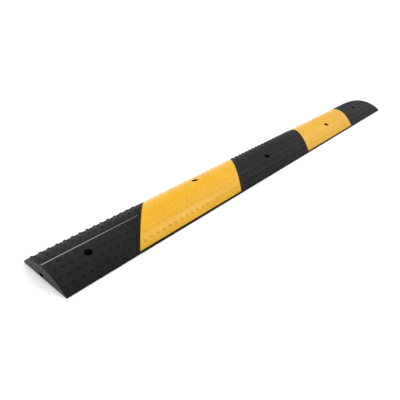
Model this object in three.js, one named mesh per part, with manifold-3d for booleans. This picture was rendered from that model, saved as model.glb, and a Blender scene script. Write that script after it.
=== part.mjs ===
// Modular rubber speed bump, 8 ft long, 10 in wide and 2 in high.
// Five rubber modules stand in a row: a black end, a yellow one, a black one, a second yellow
// one and a black end. Neighbours meet on slanted vertical faces and are lined up by two steel
// pins at each joint. Every yellow module is a black base with a yellow cover set into it.
// Each bolt hole has a steel washer on its seat, and the near end face has one small pocket.
// Units are millimetres. X runs along the bump, Y across it, +Z is up.
// The origin is at the middle of the underside.

import * as THREE from 'three';
import { mergeVertices } from 'three/addons/utils/BufferGeometryUtils.js';
import Module from 'manifold-3d';

const wasm = await Module();
wasm.setup();

// Driving dimensions of the hump.
const LENGTH = 2438;
const WIDTH = 254;
const HEIGHT = 50.8;
const FOOT_LIP = 5; // height of the upright edge along both feet
const HUMP_SEGMENTS = 24;

// Modules, measured along the front foot.
const NEAR_MODULE_LENGTH = 251;
const MODULE_LENGTH = 573;
const JOINT_COUNT = 4;
const JOINT_SKEW = 237; // how far a joint runs along X from the front foot to the back foot
const JOINT_GAP = 1;

// Yellow covers.
const COVER_THICKNESS = 6;
const COVER_START_MARGIN = 16; // black band left before the cover, along X
const COVER_END_MARGIN = 3;
const COVER_FOOT_MARGIN = 4.5; // black band left above the foot lip, along the arc
const FIT_GAP = 0.3;

// Blind pocket in the near end face.
const POCKET_WIDTH = 24;
const POCKET_HEIGHT = 16;
const POCKET_DEPTH = 40;
const POCKET_OFFSET = 11; // distance of its middle from the crest, towards the back foot
const POCKET_BOTTOM = 2;

// Bolt holes: a deep counterbore, a seat and a through hole.
const COUNTERBORE_RADIUS = 13.5;
const BOLT_HOLE_RADIUS = 7;
const SEAT_HEIGHT = 16;
const WASHER_THICKNESS = 3;
const ROW_OFFSET = 44.5; // distance of the bolt rows from the crest
const INNER_ROW_OFFSET = 25;
const ROUND_SEGMENTS = 24;

// Steel pins across the joints.
const PIN_RADIUS = 6;
const PIN_LENGTH = 80;
const PIN_CHAMFER = 1;
const PIN_HEIGHT = 17;
const PIN_OFFSET = 72; // distance of the pins from the crest
const PIN_SEGMENTS = 16;
const SOCKET_CLEARANCE = 0.5;

const NEAR_END = -LENGTH / 2;
const FAR_END = LENGTH / 2;
const HALF_WIDTH = WIDTH / 2;
const SKEW_RATE = JOINT_SKEW / WIDTH;
const OVERCUT = 20; // how far cutting solids reach past the hump

// Distance of each bolt hole from the near end and from the crest; minus is the front row.
const BOLT_HOLES = [
  { along: 133, across: -ROW_OFFSET, module: 0 },
  { along: 718, across: ROW_OFFSET, module: 1 },
  { along: 1140, across: -ROW_OFFSET, module: 2 },
  { along: 1778, across: -ROW_OFFSET, module: 3 },
  { along: 2225, across: -INNER_ROW_OFFSET, module: 4 },
  { along: 2300, across: ROW_OFFSET, module: 4 },
];

const blackRubber = new THREE.MeshStandardMaterial({ color: 0x26272a, roughness: 0.72, metalness: 0 });
const yellowRubber = new THREE.MeshStandardMaterial({ color: 0xf5bb2c, roughness: 0.55, metalness: 0 });
const zincSteel = new THREE.MeshStandardMaterial({ color: 0x9a9c9e, roughness: 0.4, metalness: 1 });

// Turns a closed three.js geometry into a solid that can be cut and joined.
function toSolid(geometry) {
  const bare = geometry.clone();
  bare.deleteAttribute('normal');
  bare.deleteAttribute('uv');
  const merged = mergeVertices(bare, 1e-3);
  return new wasm.Manifold(new wasm.Mesh({
    numProp: 3,
    vertProperties: new Float32Array(merged.getAttribute('position').array),
    triVerts: new Uint32Array(merged.getIndex().array),
  }));
}

function toMesh(name, solid, material) {
  const result = solid.getMesh();
  const geometry = new THREE.BufferGeometry();
  geometry.setAttribute('position', new THREE.BufferAttribute(result.vertProperties, 3));
  geometry.setIndex(new THREE.BufferAttribute(result.triVerts, 1));
  geometry.computeVertexNormals();
  const mesh = new THREE.Mesh(geometry, material);
  mesh.name = name;
  return mesh;
}

// Radius of the circle that rises by the given height over a chord.
function segmentRadius(halfChord, rise) {
  return (halfChord ** 2 + rise ** 2) / (2 * rise);
}

// Extrudes a shape drawn in the Y-Z plane along X, from one X to another.
function extrudeAlongX(shape, from, to, curveSegments) {
  const geometry = new THREE.ExtrudeGeometry(shape, {
    depth: to - from,
    bevelEnabled: false,
    curveSegments,
  });
  const turn = new THREE.Matrix4().makeBasis(
    new THREE.Vector3(0, 1, 0),
    new THREE.Vector3(0, 0, 1),
    new THREE.Vector3(1, 0, 0),
  );
  geometry.applyMatrix4(turn);
  geometry.translate(from, 0, 0);
  return toSolid(geometry);
}

// The hump's section in the Y-Z plane: an arc standing on two low upright edges.
function humpSection() {
  const shape = new THREE.Shape();
  shape.moveTo(-HALF_WIDTH, 0);
  shape.lineTo(HALF_WIDTH, 0);
  shape.absarc(0, HUMP_CENTRE, HUMP_RADIUS, Math.PI / 2 - HUMP_REACH, Math.PI / 2 + HUMP_REACH, false);
  shape.closePath();
  return shape;
}

// A band of the hump's skin, between two radii and out to an angle on both sides of the crest.
function skinSection(innerRadius, outerRadius, reach) {
  const shape = new THREE.Shape();
  shape.absarc(0, HUMP_CENTRE, outerRadius, Math.PI / 2 - reach, Math.PI / 2 + reach, false);
  shape.absarc(0, HUMP_CENTRE, innerRadius, Math.PI / 2 + reach, Math.PI / 2 - reach, true);
  shape.closePath();
  return shape;
}

// A vertical prism between two lines across the bump, each given by its X at the front foot.
function planPrism(start, startRate, end, endRate) {
  const front = -HALF_WIDTH - OVERCUT;
  const back = HALF_WIDTH + OVERCUT;
  const lineX = (x, rate, y) => x + rate * (y + HALF_WIDTH);
  const shape = new THREE.Shape();
  shape.moveTo(lineX(start, startRate, front), front);
  shape.lineTo(lineX(end, endRate, front), front);
  shape.lineTo(lineX(end, endRate, back), back);
  shape.lineTo(lineX(start, startRate, back), back);
  shape.closePath();
  const geometry = new THREE.ExtrudeGeometry(shape, { depth: HEIGHT + 2 * OVERCUT, bevelEnabled: false });
  geometry.translate(0, 0, -OVERCUT);
  return toSolid(geometry);
}

function roundCutter(radius, x, y, from, to) {
  const geometry = new THREE.CylinderGeometry(radius, radius, to - from, ROUND_SEGMENTS);
  geometry.rotateX(Math.PI / 2);
  geometry.translate(x, y, (from + to) / 2);
  return toSolid(geometry);
}

// A rod along X with chamfered ends.
function rodAlongX(radius, length, chamfer, x, y, z) {
  const profile = [
    new THREE.Vector2(0, -length / 2),
    new THREE.Vector2(radius - chamfer, -length / 2),
    new THREE.Vector2(radius, -length / 2 + chamfer),
    new THREE.Vector2(radius, length / 2 - chamfer),
    new THREE.Vector2(radius - chamfer, length / 2),
    new THREE.Vector2(0, length / 2),
  ];
  const geometry = new THREE.LatheGeometry(profile, PIN_SEGMENTS);
  geometry.rotateZ(-Math.PI / 2);
  geometry.translate(x, y, z);
  return toSolid(geometry);
}

const HUMP_RADIUS = segmentRadius(HALF_WIDTH, HEIGHT - FOOT_LIP);
const HUMP_REACH = Math.asin(HALF_WIDTH / HUMP_RADIUS);
const HUMP_CENTRE = HEIGHT - HUMP_RADIUS;
const COVER_REACH = HUMP_REACH - COVER_FOOT_MARGIN / HUMP_RADIUS;

const jointX = Array.from(
  { length: JOINT_COUNT },
  (_, index) => NEAR_END + NEAR_MODULE_LENGTH + index * MODULE_LENGTH,
);

// The whole hump, before it is divided into modules.
const hump = extrudeAlongX(humpSection(), NEAR_END, FAR_END, HUMP_SEGMENTS);

const boltHoles = BOLT_HOLES.map(({ along, across, module }) => ({
  x: NEAR_END + along,
  y: across,
  module,
}));

function cutBoltHole(solid, { x, y }) {
  return solid
    .subtract(roundCutter(COUNTERBORE_RADIUS, x, y, SEAT_HEIGHT, HEIGHT + OVERCUT))
    .subtract(roundCutter(BOLT_HOLE_RADIUS, x, y, -OVERCUT, SEAT_HEIGHT + 1));
}

// The two pins of every joint, one on each side of the crest.
const pins = jointX.flatMap((foot, index) => ['front', 'back'].map((side) => {
  const y = side === 'front' ? -PIN_OFFSET : PIN_OFFSET;
  return {
    name: `joint_pin_${index + 1}_${side}`,
    joint: index,
    x: foot + SKEW_RATE * (y + HALF_WIDTH),
    y,
  };
}));

function cutPinSocket(solid, { x, y }) {
  const radius = PIN_RADIUS + SOCKET_CLEARANCE;
  const length = PIN_LENGTH + 2 * SOCKET_CLEARANCE;
  return solid.subtract(rodAlongX(radius, length, PIN_CHAMFER, x, y, PIN_HEIGHT));
}

function cutPocket(solid) {
  const geometry = new THREE.BoxGeometry(POCKET_DEPTH + OVERCUT, POCKET_WIDTH, POCKET_HEIGHT);
  geometry.translate(
    NEAR_END + (POCKET_DEPTH - OVERCUT) / 2,
    POCKET_OFFSET,
    POCKET_BOTTOM + POCKET_HEIGHT / 2,
  );
  return solid.subtract(toSolid(geometry));
}

// One rubber module, numbered from 0 at the near end.
function moduleSolid(index) {
  const isFirst = index === 0;
  const isLast = index === JOINT_COUNT;
  const start = isFirst ? NEAR_END - OVERCUT : jointX[index - 1] + JOINT_GAP / 2;
  const end = isLast ? FAR_END + OVERCUT : jointX[index] - JOINT_GAP / 2;
  let solid = hump.intersect(planPrism(start, isFirst ? 0 : SKEW_RATE, end, isLast ? 0 : SKEW_RATE));
  for (const hole of boltHoles.filter(({ module }) => module === index)) {
    solid = cutBoltHole(solid, hole);
  }
  for (const pin of pins.filter(({ joint }) => joint === index || joint === index - 1)) {
    solid = cutPinSocket(solid, pin);
  }
  return isFirst ? cutPocket(solid) : solid;
}

// The yellow cover's body, or with a gap the recess that it sits in.
function coverSolid(index, gap, outerRadius) {
  const start = jointX[index - 1] + COVER_START_MARGIN - gap;
  const end = jointX[index] - COVER_END_MARGIN + gap;
  const innerRadius = HUMP_RADIUS - COVER_THICKNESS - gap;
  const section = skinSection(innerRadius, outerRadius, COVER_REACH + gap / HUMP_RADIUS);
  const band = extrudeAlongX(section, NEAR_END, FAR_END, HUMP_SEGMENTS);
  return band.intersect(planPrism(start, SKEW_RATE, end, SKEW_RATE));
}

const group = new THREE.Group();

group.add(toMesh('near_end_module', moduleSolid(0), blackRubber));
group.add(toMesh('black_middle_module', moduleSolid(2), blackRubber));
group.add(toMesh('far_end_module', moduleSolid(4), blackRubber));

[1, 3].forEach((index, order) => {
  const recess = coverSolid(index, FIT_GAP, HUMP_RADIUS + OVERCUT);
  const base = moduleSolid(index).subtract(recess);
  group.add(toMesh(`yellow_module_${order + 1}_base`, base, blackRubber));
  let cover = coverSolid(index, 0, HUMP_RADIUS);
  for (const hole of boltHoles.filter(({ module }) => module === index)) {
    cover = cutBoltHole(cover, hole);
  }
  group.add(toMesh(`yellow_module_${order + 1}_cover`, cover, yellowRubber));
});

boltHoles.forEach(({ x, y }, order) => {
  const bottom = SEAT_HEIGHT + FIT_GAP;
  const top = bottom + WASHER_THICKNESS;
  const washer = roundCutter(COUNTERBORE_RADIUS - FIT_GAP, x, y, bottom, top)
    .subtract(roundCutter(BOLT_HOLE_RADIUS, x, y, bottom - 1, top + 1));
  group.add(toMesh(`bolt_washer_${order + 1}`, washer, zincSteel));
});

for (const { name, x, y } of pins) {
  const pin = rodAlongX(PIN_RADIUS, PIN_LENGTH, PIN_CHAMFER, x, y, PIN_HEIGHT);
  group.add(toMesh(name, pin, zincSteel));
}

export default group;
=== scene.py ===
"""Rubber speed bump: five rubber modules with studs, two of them with yellow covers, on a white floor."""

import math

import bmesh
import bpy
import numpy as np
from mathutils import Matrix, Vector


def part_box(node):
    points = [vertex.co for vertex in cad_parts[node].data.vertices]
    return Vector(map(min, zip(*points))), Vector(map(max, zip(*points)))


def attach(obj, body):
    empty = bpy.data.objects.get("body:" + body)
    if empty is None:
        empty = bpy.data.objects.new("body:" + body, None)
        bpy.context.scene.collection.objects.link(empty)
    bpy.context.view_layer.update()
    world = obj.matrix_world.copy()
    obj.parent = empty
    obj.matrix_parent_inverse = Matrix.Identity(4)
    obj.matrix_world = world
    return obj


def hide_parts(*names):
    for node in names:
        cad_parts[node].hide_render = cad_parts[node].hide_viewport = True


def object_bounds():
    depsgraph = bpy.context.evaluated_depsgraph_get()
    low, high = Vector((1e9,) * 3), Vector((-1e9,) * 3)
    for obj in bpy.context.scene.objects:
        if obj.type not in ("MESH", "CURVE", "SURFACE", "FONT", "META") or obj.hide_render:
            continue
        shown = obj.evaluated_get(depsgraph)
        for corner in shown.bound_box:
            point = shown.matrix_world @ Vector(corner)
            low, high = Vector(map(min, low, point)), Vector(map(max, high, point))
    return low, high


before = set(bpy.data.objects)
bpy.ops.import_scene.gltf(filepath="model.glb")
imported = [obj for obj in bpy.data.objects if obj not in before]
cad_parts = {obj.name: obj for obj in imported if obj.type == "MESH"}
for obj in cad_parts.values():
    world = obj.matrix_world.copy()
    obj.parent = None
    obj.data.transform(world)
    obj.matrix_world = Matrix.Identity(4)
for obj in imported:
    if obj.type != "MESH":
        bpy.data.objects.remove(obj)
cad_box = [list(corner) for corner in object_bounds()]

# ---------------------------------------------------------------- sizes, in metres
LOW, HIGH = (Vector(corner) for corner in cad_box)
WIDTH = HIGH.y - LOW.y
HALF_WIDTH = WIDTH / 2
HEIGHT = HIGH.z
FOOT_LIP = 0.005
RADIUS = (HALF_WIDTH**2 + (HEIGHT - FOOT_LIP) ** 2) / (2 * (HEIGHT - FOOT_LIP))
REACH = RADIUS * math.asin(HALF_WIDTH / RADIUS)  # arc length from the crest to a foot

JOINT_GAP = 0.001
COVER_THICKNESS = 0.006
COVER_START_MARGIN = 0.0155
COVER_END_MARGIN = 0.0025
COVER_FOOT_MARGIN = 0.0045
FIT_GAP = 0.0003

POCKET_DEPTH = 0.040
POCKET_SIDES = (-0.001, 0.023)
POCKET_LEVELS = (0.002, 0.018)

STUD_PITCH_X = 0.02906
STUD_PITCH_ARC = 0.03035
STUD_ROWS = (-3.5, -2.5, -1.5, -0.5, 0.5, 1.5, 2.5, 3.5)
STUD_RADIUS = 0.0074
STUD_HEIGHT = 0.0032
STUD_SLOPE = 0.78  # part of the radius over which a stud rises to its flat top
COVER_STUD_HEIGHT = 0.0019
STUD_EDGE_MARGIN = 0.012
STUD_HOLE_MARGIN = 0.008

COUNTERBORE_RADIUS = 0.0135
SEAT_HEIGHT = 0.016
BOLT_HOLE_RADIUS = 0.007
BORE_SEGMENTS = 48
FLARE_DEPTH = 0.0012  # the flare at the counterbore's rim starts this far below the surface
FLARE_RISE = 0.0016
FLARE_INSET = 0.0002  # its lower radius is this much less than the counterbore's
FLARE_SPREAD = 0.0026  # and its upper radius this much more
SOCKET_CLEARANCE = 0.0005
SOCKET_SEGMENTS = 24
PIN_TO_JOINT = 0.005  # a pin belongs to a joint line that is nearer than this
CUTTER_OVERSHOOT = 0.01
CUTTER_TURN = 0.37  # part of a segment; unturned, the cut of bolt hole 3 left a stray disc below the floor

FINE_STEP = 0.0016
COARSE_STEP = 0.012
END_ROUND = 0.0032
JOINT_ROUND = 0.0016
COVER_ROUND = 0.0011
FOOT_ROUND = 0.0012
MOST_DROP = 0.7  # an edge is rounded by at most this part of the height there
SHARP_ANGLE = 0.62  # radians
RECESS_WALL = 0.00004  # width that the recess's steep sides take up, seen from above
BEAD_HALF_WIDTH = 0.0025
BEAD_HEIGHT = 0.0012

WASHERS = [f"bolt_washer_{i}" for i in range(1, 7)]
PINS = [f"joint_pin_{i}_{side}" for i in range(1, 5) for side in ("front", "back")]


# ---------------------------------------------------------------- layout from the frame
class Line:
    """A straight line across the bump, given by its X at the front foot and at the back foot."""

    def __init__(self, front, back):
        self.front, self.back = front, back

    def at(self, y):
        return self.front + (self.back - self.front) * (y + HALF_WIDTH) / WIDTH

    def moved(self, distance):
        return Line(self.front + distance, self.back + distance)


MODULES = [
    "near_end_module", "yellow_module_1_base", "black_middle_module",
    "yellow_module_2_base", "far_end_module",
]
boxes = {name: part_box(name) for name in MODULES}


def module_lines(index):
    """The start and end lines of a module, from the boxes of it and its neighbours."""
    low, high = boxes[MODULES[index]]
    if index == 0:
        start = Line(low.x, low.x)
    else:
        start = Line(low.x, boxes[MODULES[index - 1]][1].x + JOINT_GAP)
    if index == len(MODULES) - 1:
        end = Line(high.x, high.x)
    else:
        end = Line(boxes[MODULES[index + 1]][0].x - JOINT_GAP, high.x)
    return start, end


def centre(node):
    low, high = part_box(node)
    return (low + high) / 2


holes = [centre(node) for node in WASHERS]
pins = [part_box(node) for node in PINS]


def holes_between(start, end):
    return [h for h in holes if start.at(h.y) < h.x < end.at(h.y)]


# ---------------------------------------------------------------- mesh building
def arc_point(s):
    """A point of the hump's section, at arc distance s from the crest, as (y, z)."""
    return RADIUS * np.sin(s / RADIUS), HEIGHT - RADIUS + RADIUS * np.cos(s / RADIUS)


def edge_steps(radius):
    """Distances of the extra columns that round an edge over."""
    return [radius * f for f in (0.0, 0.08, 0.28, 0.6, 1.0)]


def round_drop(distance, radius):
    """How far a rounded edge lies below the full surface, at a distance from the edge."""
    inside = np.clip(radius - distance, 0, radius)
    return radius - np.sqrt(np.maximum(radius**2 - inside**2, 0))


def spread(low, high, step):
    count = max(2, int(math.ceil((high - low) / step)) + 1)
    return list(np.linspace(low, high, count))


def columns_x(start, end, y, fractions, start_steps, end_steps):
    """X of every column at the given y: rounded edges at fixed distances, the rest in proportion."""
    a, b = start.at(y), end.at(y)
    first, last = a + start_steps[-1], b - end_steps[-1]
    middle = [first + f * (last - first) for f in fractions[1:-1]]
    return np.array([a + d for d in start_steps] + middle + [b - d for d in reversed(end_steps)])


def stud_lift(x, s, centres, height):
    """Height of the domed studs over the hump, at arrays of x and arc distance s."""
    lift = np.zeros_like(x)
    for cx, cs in centres:
        near = (np.abs(x - cx) < STUD_RADIUS) & (np.abs(s - cs) < STUD_RADIUS)
        r = np.hypot(x[near] - cx, s[near] - cs) / STUD_RADIUS
        t = np.clip((1 - r) / STUD_SLOPE, 0, 1)
        lift[near] = np.maximum(lift[near], height * t * t * (3 - 2 * t))
    return lift


def stud_centres(start, end):
    """Centres of a module's studs, in rows and in step with its first bolt hole."""
    found = []
    clear = COUNTERBORE_RADIUS + STUD_HOLE_MARGIN
    module_holes = holes_between(start, end)
    phase = module_holes[0].x
    for row in STUD_ROWS:
        s = row * STUD_PITCH_ARC
        y, _ = arc_point(s)
        low, high = start.at(y) + STUD_EDGE_MARGIN, end.at(y) - STUD_EDGE_MARGIN
        first = math.ceil((low - phase) / STUD_PITCH_X)
        last = math.floor((high - phase) / STUD_PITCH_X)
        for n in range(first, last + 1):
            x = phase + n * STUD_PITCH_X
            if all(math.hypot(x - h.x, y - h.y) > clear for h in module_holes):
                found.append((x, s))
    return found


def foot_profile():
    """Points of the front foot, from the floor up to where the arc starts, as (y, z)."""
    corner = np.array([-HALF_WIDTH, FOOT_LIP])
    below = corner - np.array([0, FOOT_ROUND])
    beyond = np.array(arc_point(-REACH + FOOT_ROUND))
    points = [(-HALF_WIDTH, 0.0)]
    for t in (0.0, 0.3, 0.6):
        points.append(tuple((1 - t) ** 2 * below + 2 * t * (1 - t) * corner + t**2 * beyond))
    return points


def grid_faces(columns, rows):
    """Quads of a grid whose vertex index is column * rows + row, facing up."""
    c, r = np.meshgrid(np.arange(columns - 1), np.arange(rows - 1), indexing="ij")
    a = (c * rows + r).ravel()
    return np.stack([a, a + rows, a + rows + 1, a + 1], 1).tolist()


def mesh_object(name, vertices, faces):
    mesh = bpy.data.meshes.new(name)
    mesh.from_pydata([tuple(v) for v in vertices], [], faces)
    mesh.validate()
    obj = bpy.data.objects.new(name, mesh)
    bpy.context.scene.collection.objects.link(obj)
    return obj


def hump_module(name, start, end, step, start_round, end_round, lift, extra_s=(), extra_x=()):
    """A closed module solid: a grid over its section, flat ends and a flat underside."""
    foot = foot_profile()
    arc = sorted(set(spread(-REACH + FOOT_ROUND, REACH - FOOT_ROUND, step)) | set(extra_s))
    section = [(y, z, None) for y, z in foot]
    section += [(*arc_point(s), s) for s in arc]
    section += [(-y, z, None) for y, z in reversed(foot)]
    rows = len(section)
    ys = np.array([p[0] for p in section])
    zs = np.array([p[1] for p in section])
    s = np.array([REACH * np.sign(p[0]) if p[2] is None else p[2] for p in section])
    on_arc = np.array([p[2] is not None for p in section])
    longest = max(end.at(y) - start.at(y) for y in (-HALF_WIDTH, HALF_WIDTH))
    fractions = spread(0, 1, step / longest)
    start_steps = sorted(edge_steps(start_round) + [d for side, d in extra_x if side == "start"])
    end_steps = sorted(edge_steps(end_round) + [d for side, d in extra_x if side == "end"])
    x = np.array([columns_x(start, end, y, fractions, start_steps, end_steps) for y in ys]).T
    columns = x.shape[0]
    y = np.tile(ys, (columns, 1))
    z = np.tile(zs, (columns, 1))
    arc_s = np.tile(s, (columns, 1))
    raised = np.where(on_arc, lift(x, arc_s), 0.0)
    y = y + raised * np.sin(arc_s / RADIUS)
    z = z + raised * np.cos(arc_s / RADIUS)
    from_start = x - start.at(np.tile(ys, (columns, 1)))
    from_end = end.at(np.tile(ys, (columns, 1))) - x
    drop = round_drop(from_start, start_round) + round_drop(from_end, end_round)
    z = np.where(z > FOOT_LIP / 2, z - np.minimum(drop, z * MOST_DROP), z)
    vertices = np.stack([x, y, z], -1).reshape(-1, 3).tolist()
    faces = grid_faces(columns, rows)
    last = (columns - 1) * rows
    faces.append(list(range(rows)))
    faces.append([last + r for r in reversed(range(rows))])
    front_row = [c * rows for c in range(columns)]
    back_row = [c * rows + rows - 1 for c in range(columns)]
    faces.append(front_row + back_row[::-1])
    return mesh_object(name, vertices, faces)


def cover_solid(name, start, end, lift):
    """A yellow cover: a studded outer skin, a plain inner skin and the four narrow sides."""
    limit = REACH - COVER_FOOT_MARGIN
    edges = edge_steps(COVER_ROUND)
    inner = spread(-limit + COVER_ROUND, limit - COVER_ROUND, FINE_STEP)[1:-1]
    s = np.array([-limit + d for d in edges] + inner + [limit - d for d in reversed(edges)])
    ys, zs = arc_point(s)
    longest = end.at(0) - start.at(0)
    fractions = spread(0, 1, FINE_STEP / longest)
    x = np.array([columns_x(start, end, y, fractions, edges, edges) for y in ys]).T
    columns, rows = x.shape
    arc_s = np.tile(s, (columns, 1))
    across = np.tile(ys, (columns, 1))
    drop = round_drop(x - start.at(across), COVER_ROUND) + round_drop(end.at(across) - x, COVER_ROUND)
    drop += round_drop(limit - np.abs(arc_s), COVER_ROUND)
    raised = lift(x, arc_s) - np.minimum(drop, COVER_THICKNESS * 0.5)
    y = across + raised * np.sin(arc_s / RADIUS)
    z = np.tile(zs, (columns, 1)) + raised * np.cos(arc_s / RADIUS)
    vertices = np.stack([x, y, z], -1).reshape(-1, 3).tolist()
    faces = grid_faces(columns, rows)
    low_y = (RADIUS - COVER_THICKNESS) * np.sin(s / RADIUS)
    low_z = HEIGHT - RADIUS + (RADIUS - COVER_THICKNESS) * np.cos(s / RADIUS)
    first = len(vertices)
    vertices += [(x[0, r], low_y[r], low_z[r]) for r in range(rows)]
    second = len(vertices)
    vertices += [(x[-1, r], low_y[r], low_z[r]) for r in range(rows)]
    last = (columns - 1) * rows
    for r in range(rows - 1):
        faces.append([first + r, first + r + 1, second + r + 1, second + r])
        faces.append([r, r + 1, first + r + 1, first + r])
        faces.append([last + r + 1, last + r, second + r, second + r + 1])
    faces.append([c * rows for c in range(columns)] + [second, first])
    back_row = [c * rows + rows - 1 for c in reversed(range(columns))]
    faces.append(back_row + [first + rows - 1, second + rows - 1])
    return mesh_object(name, vertices, faces)


def lathe(profile, segments, matrix):
    """A closed turned cutter from (radius, height) points that start and end on the axis."""
    vertices, faces = [], []
    for radius, height in profile[1:-1]:
        for k in range(segments):
            angle = 2 * math.pi * (k + CUTTER_TURN) / segments
            vertices.append(matrix @ Vector((radius * math.cos(angle), radius * math.sin(angle), height)))
    rings = len(profile) - 2
    bottom = len(vertices)
    vertices.append(matrix @ Vector((0, 0, profile[0][1])))
    vertices.append(matrix @ Vector((0, 0, profile[-1][1])))
    for k in range(segments):
        after = (k + 1) % segments
        faces.append([bottom, after, k])
        top = (rings - 1) * segments
        faces.append([bottom + 1, top + k, top + after])
        for ring in range(rings - 1):
            a = ring * segments
            faces.append([a + k, a + after, a + segments + after, a + segments + k])
    return vertices, faces


def bore_cutters(hole):
    """The counterbore with the through hole below it, and a shallow flare square to the surface."""
    upright = Matrix.Translation((hole.x, hole.y, 0))
    bottom, top = -CUTTER_OVERSHOOT, HEIGHT + 2 * CUTTER_OVERSHOOT
    bore = lathe(
        [(0, bottom), (BOLT_HOLE_RADIUS, bottom), (BOLT_HOLE_RADIUS, SEAT_HEIGHT),
         (COUNTERBORE_RADIUS, SEAT_HEIGHT), (COUNTERBORE_RADIUS, top), (0, top)],
        BORE_SEGMENTS, upright,
    )
    angle = math.asin(hole.y / RADIUS)
    z = HEIGHT - RADIUS + RADIUS * math.cos(angle)
    tilt = Matrix.Translation((hole.x, hole.y, z)) @ Matrix.Rotation(-angle, 4, "X")
    flare = lathe(
        [(0, -FLARE_DEPTH), (COUNTERBORE_RADIUS - FLARE_INSET, -FLARE_DEPTH),
         (COUNTERBORE_RADIUS + FLARE_SPREAD, FLARE_RISE), (0, FLARE_RISE)],
        BORE_SEGMENTS, tilt,
    )
    return [bore, flare]


def socket_cutters(start, end):
    """Sockets of the joint pins that reach into this module."""
    found = []
    for low, high in pins:
        middle = (low + high) / 2
        if not any(abs(line.at(middle.y) - middle.x) < PIN_TO_JOINT for line in (start, end)):
            continue
        radius = (high.z - low.z) / 2 + SOCKET_CLEARANCE
        half = (high.x - low.x) / 2 + SOCKET_CLEARANCE
        turn = Matrix.Translation(middle) @ Matrix.Rotation(math.pi / 2, 4, "Y")
        profile = [(0, -half), (radius, -half), (radius, half), (0, half)]
        found.append(lathe(profile, SOCKET_SEGMENTS, turn))
    return found


def pocket_cutter():
    """The box-shaped pocket in the near end face."""
    ends = (LOW.x - CUTTER_OVERSHOOT, LOW.x + POCKET_DEPTH)
    vertices = [Vector((x, y, z)) for x in ends for y in POCKET_SIDES for z in POCKET_LEVELS]
    faces = [[0, 1, 3, 2], [4, 6, 7, 5], [0, 4, 5, 1], [2, 3, 7, 6], [0, 2, 6, 4], [1, 5, 7, 3]]
    return vertices, faces


def cut(obj, cutters):
    """Subtracts each cutter from the object and keeps the result as its mesh."""
    for vertices, faces in cutters:
        tool = mesh_object("cutter", vertices, faces)
        modifier = obj.modifiers.new("cut", "BOOLEAN")
        modifier.operation = "DIFFERENCE"
        modifier.solver = "EXACT"
        modifier.object = tool
        bpy.context.view_layer.update()
        result = bpy.data.meshes.new_from_object(obj.evaluated_get(bpy.context.evaluated_depsgraph_get()))
        obj.modifiers.clear()
        obj.data = result
        bpy.data.objects.remove(tool)


def finish_mesh(obj):
    """Makes the shading smooth except across sharp edges."""
    mesh = bmesh.new()
    mesh.from_mesh(obj.data)
    bmesh.ops.recalc_face_normals(mesh, faces=mesh.faces)
    for face in mesh.faces:
        face.smooth = True
    for edge in mesh.edges:
        edge.smooth = edge.is_manifold and edge.calc_face_angle(0) < SHARP_ANGLE
    mesh.to_mesh(obj.data)
    mesh.free()


def place(obj, material, slot, *nodes):
    obj.data.materials.clear()
    obj.data.materials.append(material)
    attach(obj, "root")
    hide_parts(*nodes)


# ---------------------------------------------------------------- materials
class Nodes:
    """A short way to write a material's node tree."""

    def __init__(self, name):
        self.material = bpy.data.materials.new(name)
        self.material.use_nodes = True
        self.tree = self.material.node_tree
        self.shader = self.tree.nodes["Principled BSDF"]
        self.position = self.add("ShaderNodeTexCoord").outputs["Object"]

    def add(self, kind, **settings):
        node = self.tree.nodes.new(kind)
        for key, value in settings.items():
            setattr(node, key, value)
        return node

    def link(self, source, target):
        self.tree.links.new(source, target)

    def noise(self, scale, detail, roughness=0.55):
        node = self.add("ShaderNodeTexNoise")
        node.inputs["Scale"].default_value = scale
        node.inputs["Detail"].default_value = detail
        node.inputs["Roughness"].default_value = roughness
        self.link(self.position, node.inputs["Vector"])
        return node.outputs["Fac"]

    def ranged(self, value, low, high, to_low, to_high):
        node = self.add("ShaderNodeMapRange")
        for key, number in (("From Min", low), ("From Max", high), ("To Min", to_low), ("To Max", to_high)):
            node.inputs[key].default_value = number
        self.link(value, node.inputs["Value"])
        return node.outputs["Result"]

    def mix(self, factor, a, b):
        node = self.add("ShaderNodeMix", data_type="RGBA")
        for source, index in ((factor, 0), (a, 6), (b, 7)):
            if isinstance(source, bpy.types.NodeSocket):
                self.link(source, node.inputs[index])
            else:
                node.inputs[index].default_value = source
        return node.outputs[2]

    def math(self, operation, a, b=0.0):
        node = self.add("ShaderNodeMath", operation=operation)
        for source, index in ((a, 0), (b, 1)):
            if isinstance(source, bpy.types.NodeSocket):
                self.link(source, node.inputs[index])
            else:
                node.inputs[index].default_value = source
        return node.outputs[0]

    def axis(self, name):
        node = self.add("ShaderNodeSeparateXYZ")
        self.link(self.position, node.inputs[0])
        return node.outputs[name]

    def bump(self, height, distance, strength, normal=None):
        node = self.add("ShaderNodeBump")
        node.inputs["Strength"].default_value = strength
        node.inputs["Distance"].default_value = distance
        self.link(height, node.inputs["Height"])
        if normal is not None:
            self.link(normal, node.inputs["Normal"])
        return node.outputs["Normal"]


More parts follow.
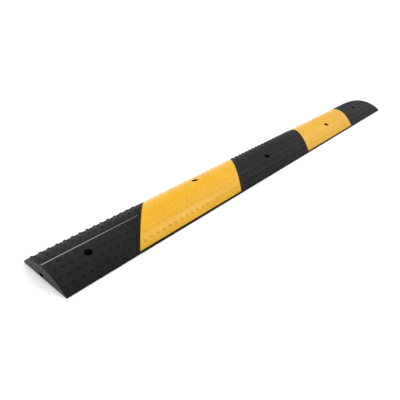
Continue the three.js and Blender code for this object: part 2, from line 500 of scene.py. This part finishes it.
def black_rubber(name, near_end=False):
    n = Nodes(name)
    broad = n.noise(9, 5, 0.6)
    grain = n.noise(900, 3, 0.6)
    colour = n.mix(n.ranged(broad, 0.3, 0.7, 0, 1), (0.0055, 0.0055, 0.006, 1), (0.0095, 0.0095, 0.0098, 1))
    colour = n.mix(n.ranged(grain, 0.58, 0.75, 0, 0.45), colour, (0.03, 0.03, 0.031, 1))
    patches = n.ranged(n.noise(28, 6, 0.7), 0.5, 0.8, 0, 0.35)
    dust = n.math("MULTIPLY", patches, n.ranged(n.axis("Z"), 0.03, HEIGHT, 0, 1))
    colour = n.mix(dust, colour, (0.036, 0.036, 0.036, 1))
    rough = n.ranged(n.noise(60, 4, 0.6), 0.3, 0.7, 0.46, 0.62)
    if near_end:
        # the sawn end face is a lighter, grainy grey: partly its own colour, partly painted light on that
        # face
        face = n.ranged(n.axis("X"), LOW.x + 0.0002, LOW.x + 0.0009, 1, 0)
        speckles = n.ranged(n.noise(420, 4, 0.7), 0.35, 0.65, 0, 1)
        cut_face_and_painted_light_colour = n.mix(speckles, (0.026, 0.025, 0.022, 1), (0.085, 0.081, 0.071, 1))
        colour = n.mix(face, colour, cut_face_and_painted_light_colour)
        # the crest bead is painted light grey: partly wear, partly a painted highlight, fading out away from
        # the near end
        across = n.ranged(n.math("ABSOLUTE", n.axis("Y")), 0.0019, 0.0027, 1, 0)
        bead = n.math("MULTIPLY", across, n.ranged(n.axis("Z"), HEIGHT + 0.0001, HEIGHT + 0.0005, 0, 1))
        bead_wear_and_highlight_fade = n.ranged(n.axis("X"), LOW.x + 0.1, LOW.x + 0.36, 1, 0.42)
        colour = n.mix(n.math("MULTIPLY", bead, bead_wear_and_highlight_fade), colour, (0.3, 0.3, 0.3, 1))
    n.link(colour, n.shader.inputs["Base Color"])
    n.link(rough, n.shader.inputs["Roughness"])
    n.shader.inputs["Specular IOR Level"].default_value = 0.1
    normal = n.bump(n.noise(1400, 2, 0.5), 0.0002, 0.5)
    normal = n.bump(n.noise(160, 4, 0.6), 0.0005, 0.35, normal)
    n.link(normal, n.shader.inputs["Normal"])
    return n.material


def yellow_rubber(name, hole):
    """Yellow rubber, near-black on the wall of the bolt hole and just beyond its rim."""
    n = Nodes(name)
    broad = n.noise(7, 4, 0.6)
    colour = n.mix(n.ranged(broad, 0.3, 0.7, 0, 1), (0.70, 0.36, 0.004, 1), (0.77, 0.415, 0.006, 1))
    colour = n.mix(n.ranged(n.noise(55, 5, 0.65), 0.48, 0.78, 0, 0.3), colour, (0.78, 0.34, 0.012, 1))
    colour = n.mix(n.ranged(n.noise(1100, 2, 0.5), 0.66, 0.8, 0, 0.35), colour, (0.45, 0.25, 0.03, 1))
    dx = n.math("SUBTRACT", n.axis("X"), hole.x)
    dy = n.math("SUBTRACT", n.axis("Y"), hole.y)
    away = n.math("SQRT", n.math("ADD", n.math("MULTIPLY", dx, dx), n.math("MULTIPLY", dy, dy)))
    wall = n.ranged(away, COUNTERBORE_RADIUS + 0.0004, COUNTERBORE_RADIUS + 0.0012, 1, 0)
    colour = n.mix(wall, colour, (0.006, 0.006, 0.006, 1))
    n.link(colour, n.shader.inputs["Base Color"])
    n.link(n.ranged(n.noise(70, 4, 0.6), 0.3, 0.7, 0.24, 0.34), n.shader.inputs["Roughness"])
    n.shader.inputs["Specular IOR Level"].default_value = 0.2
    normal = n.bump(n.noise(1300, 2, 0.5), 0.00015, 0.4)
    normal = n.bump(n.noise(140, 4, 0.6), 0.0004, 0.3, normal)
    n.link(normal, n.shader.inputs["Normal"])
    return n.material


def zinc_steel(name):
    n = Nodes(name)
    patches = n.noise(220, 3, 0.6)
    n.link(n.mix(n.ranged(patches, 0.3, 0.7, 0, 1), (0.42, 0.43, 0.44, 1), (0.6, 0.61, 0.62, 1)),
           n.shader.inputs["Base Color"])
    n.link(n.ranged(patches, 0.3, 0.7, 0.28, 0.5), n.shader.inputs["Roughness"])
    n.shader.inputs["Metallic"].default_value = 1.0
    n.link(n.bump(n.noise(900, 2, 0.5), 0.0001, 0.3), n.shader.inputs["Normal"])
    return n.material


def floor_paint(name):
    n = Nodes(name)
    n.link(n.mix(n.noise(3, 2), (0.93, 0.93, 0.93, 1), (0.95, 0.95, 0.95, 1)), n.shader.inputs["Base Color"])
    n.shader.inputs["Roughness"].default_value = 0.9
    n.shader.inputs["Specular IOR Level"].default_value = 0.1
    return n.material


black = black_rubber("black_rubber")
black_end = black_rubber("black_rubber_cut_end", near_end=True)
steel = zinc_steel("zinc_steel")


# ---------------------------------------------------------------- the modules
def black_module(index, material):
    start, end = module_lines(index)
    is_first, is_last = index == 0, index == len(MODULES) - 1
    centres = stud_centres(start, end)

    def lift(x, s):
        raised = stud_lift(x, s, centres, STUD_HEIGHT)
        if is_first:
            bead = np.clip(1 - (np.abs(s) / BEAD_HALF_WIDTH) ** 2, 0, 1) ** 0.5
            ramp = np.clip((x - start.front) / END_ROUND, 0, 1)
            raised = raised + BEAD_HEIGHT * bead * ramp
        return raised

    bead_fractions = (-1, -0.93, -0.7, -0.35, 0, 0.35, 0.7, 0.93, 1) if is_first else ()
    bead_lines = [BEAD_HALF_WIDTH * f for f in bead_fractions]
    piece = hump_module(
        MODULES[index].replace("_module", "_rubber"), start, end, FINE_STEP,
        END_ROUND if is_first else JOINT_ROUND, END_ROUND if is_last else JOINT_ROUND, lift, bead_lines,
    )
    cutters = [c for hole in holes_between(start, end) for c in bore_cutters(hole)]
    if is_first:
        cutters.append(pocket_cutter())
    cut(piece, cutters + socket_cutters(start, end))
    finish_mesh(piece)
    place(piece, material, "black_rubber", MODULES[index])


def yellow_module(index, number):
    start, end = module_lines(index)
    cover_start, cover_end = start.moved(COVER_START_MARGIN), end.moved(-COVER_END_MARGIN)
    limit = REACH - COVER_FOOT_MARGIN + FIT_GAP
    sides = [sign * (limit + d) for sign in (-1, 1) for d in (0, RECESS_WALL)]
    depth = COVER_THICKNESS + FIT_GAP
    start_margin, end_margin = COVER_START_MARGIN - FIT_GAP, COVER_END_MARGIN - FIT_GAP
    extra_x = [("start", start_margin), ("start", start_margin + RECESS_WALL)]
    extra_x += [("end", end_margin), ("end", end_margin + RECESS_WALL)]

    def recess(x, s):
        y, _ = arc_point(s)
        half = RECESS_WALL / 2
        inside = np.abs(s) < limit + half
        inside &= (x - start.at(y) > start_margin + half) & (end.at(y) - x > end_margin + half)
        return np.where(inside, -depth, 0.0)

    base = hump_module(f"yellow_{number}_base_rubber", start, end, COARSE_STEP, JOINT_ROUND, JOINT_ROUND,
                       recess, sides, extra_x)
    cutters = [c for hole in holes_between(start, end) for c in bore_cutters(hole)[:1]]
    cut(base, cutters + socket_cutters(start, end))
    finish_mesh(base)
    place(base, black, "black_rubber", MODULES[index])

    centres = stud_centres(cover_start, cover_end)
    cover = cover_solid(f"yellow_{number}_cover_rubber", cover_start, cover_end,
                        lambda x, s: stud_lift(x, s, centres, COVER_STUD_HEIGHT))
    cut(cover, [c for hole in holes_between(start, end) for c in bore_cutters(hole)])
    finish_mesh(cover)
    material = yellow_rubber(f"yellow_rubber_{number}", holes_between(start, end)[0])
    place(cover, material, "yellow_rubber", f"yellow_module_{number}_cover")


black_module(0, black_end)
yellow_module(1, 1)
black_module(2, black)
yellow_module(3, 2)
black_module(4, black)

for node in WASHERS + PINS:
    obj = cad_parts[node]
    obj.data.materials.clear()
    obj.data.materials.append(steel)

# ---------------------------------------------------------------- floor, light and camera
FLOOR_HALF_SIZE = 300.0
FLOOR_DROP = 0.0002
corners = [(-1, -1), (1, -1), (1, 1), (-1, 1)]
floor_points = [(a * FLOOR_HALF_SIZE, b * FLOOR_HALF_SIZE, LOW.z - FLOOR_DROP) for a, b in corners]
floor = mesh_object("floor", floor_points, [[0, 1, 2, 3]])
floor.data.materials.append(floor_paint("white_floor"))


def sun(name, towards, spread_degrees, strength):
    """A soft sun lamp that shines from the given direction."""
    light = bpy.data.lights.new(name, "SUN")
    light.angle = math.radians(spread_degrees)
    light.energy = strength
    obj = bpy.data.objects.new(name, light)
    obj.rotation_euler = Vector(towards).to_track_quat("Z", "Y").to_euler()
    bpy.context.scene.collection.objects.link(obj)


sun("back", (-0.08, 0.68, 0.73), 30, 1.9)
sun("right", (0.577, -0.109, 0.806), 70, 1.2)
sun("right_accent", (0.577, -0.109, 0.806), 6, 0.4)

world = bpy.data.worlds.new("studio")
bpy.context.scene.world = world
world.use_nodes = True
background = world.node_tree.nodes["Background"]
background.inputs["Color"].default_value = (1, 1, 1, 1)
# white at the horizon, so that the floor's edge doesn't show, and dimmer above
WHITE_BELOW, DIM_ABOVE = 0.02, 0.08  # height of the direction, 0 at the horizon and 1 overhead
WHITE_STRENGTH, DIM_STRENGTH = 1.1, 0.45
direction = world.node_tree.nodes.new("ShaderNodeTexCoord")
height = world.node_tree.nodes.new("ShaderNodeSeparateXYZ")
dimming = world.node_tree.nodes.new("ShaderNodeMapRange")
dimming.inputs["From Min"].default_value = WHITE_BELOW
dimming.inputs["From Max"].default_value = DIM_ABOVE
dimming.inputs["To Min"].default_value = WHITE_STRENGTH
dimming.inputs["To Max"].default_value = DIM_STRENGTH
world.node_tree.links.new(direction.outputs["Generated"], height.inputs[0])
world.node_tree.links.new(height.outputs["Z"], dimming.inputs["Value"])
world.node_tree.links.new(dimming.outputs["Result"], background.inputs["Strength"])

CAMERA_AZIMUTH = math.radians(-47.647)
CAMERA_ELEVATION = math.radians(28.553)
CAMERA_ROLL = math.radians(-1.453)
CAMERA_PLACE = Vector((LOW.x - 0.3282, -0.9366, 0.7305))
CAMERA_LENS = 33.705

forward = Vector((
    -math.sin(CAMERA_AZIMUTH) * math.cos(CAMERA_ELEVATION),
    math.cos(CAMERA_AZIMUTH) * math.cos(CAMERA_ELEVATION),
    -math.sin(CAMERA_ELEVATION),
))
level_right = forward.cross(Vector((0, 0, 1))).normalized()
level_up = level_right.cross(forward)
right = math.cos(CAMERA_ROLL) * level_right + math.sin(CAMERA_ROLL) * level_up
up = right.cross(forward)
camera_data = bpy.data.cameras.new("camera")
camera_data.lens = CAMERA_LENS
camera_data.sensor_width = 36.0
camera = bpy.data.objects.new("camera", camera_data)
rotation = Matrix((right, up, -forward)).transposed().to_4x4()
camera.matrix_world = Matrix.Translation(CAMERA_PLACE) @ rotation
bpy.context.scene.collection.objects.link(camera)
bpy.context.scene.camera = camera
bpy.context.scene.view_settings.view_transform = "Standard"
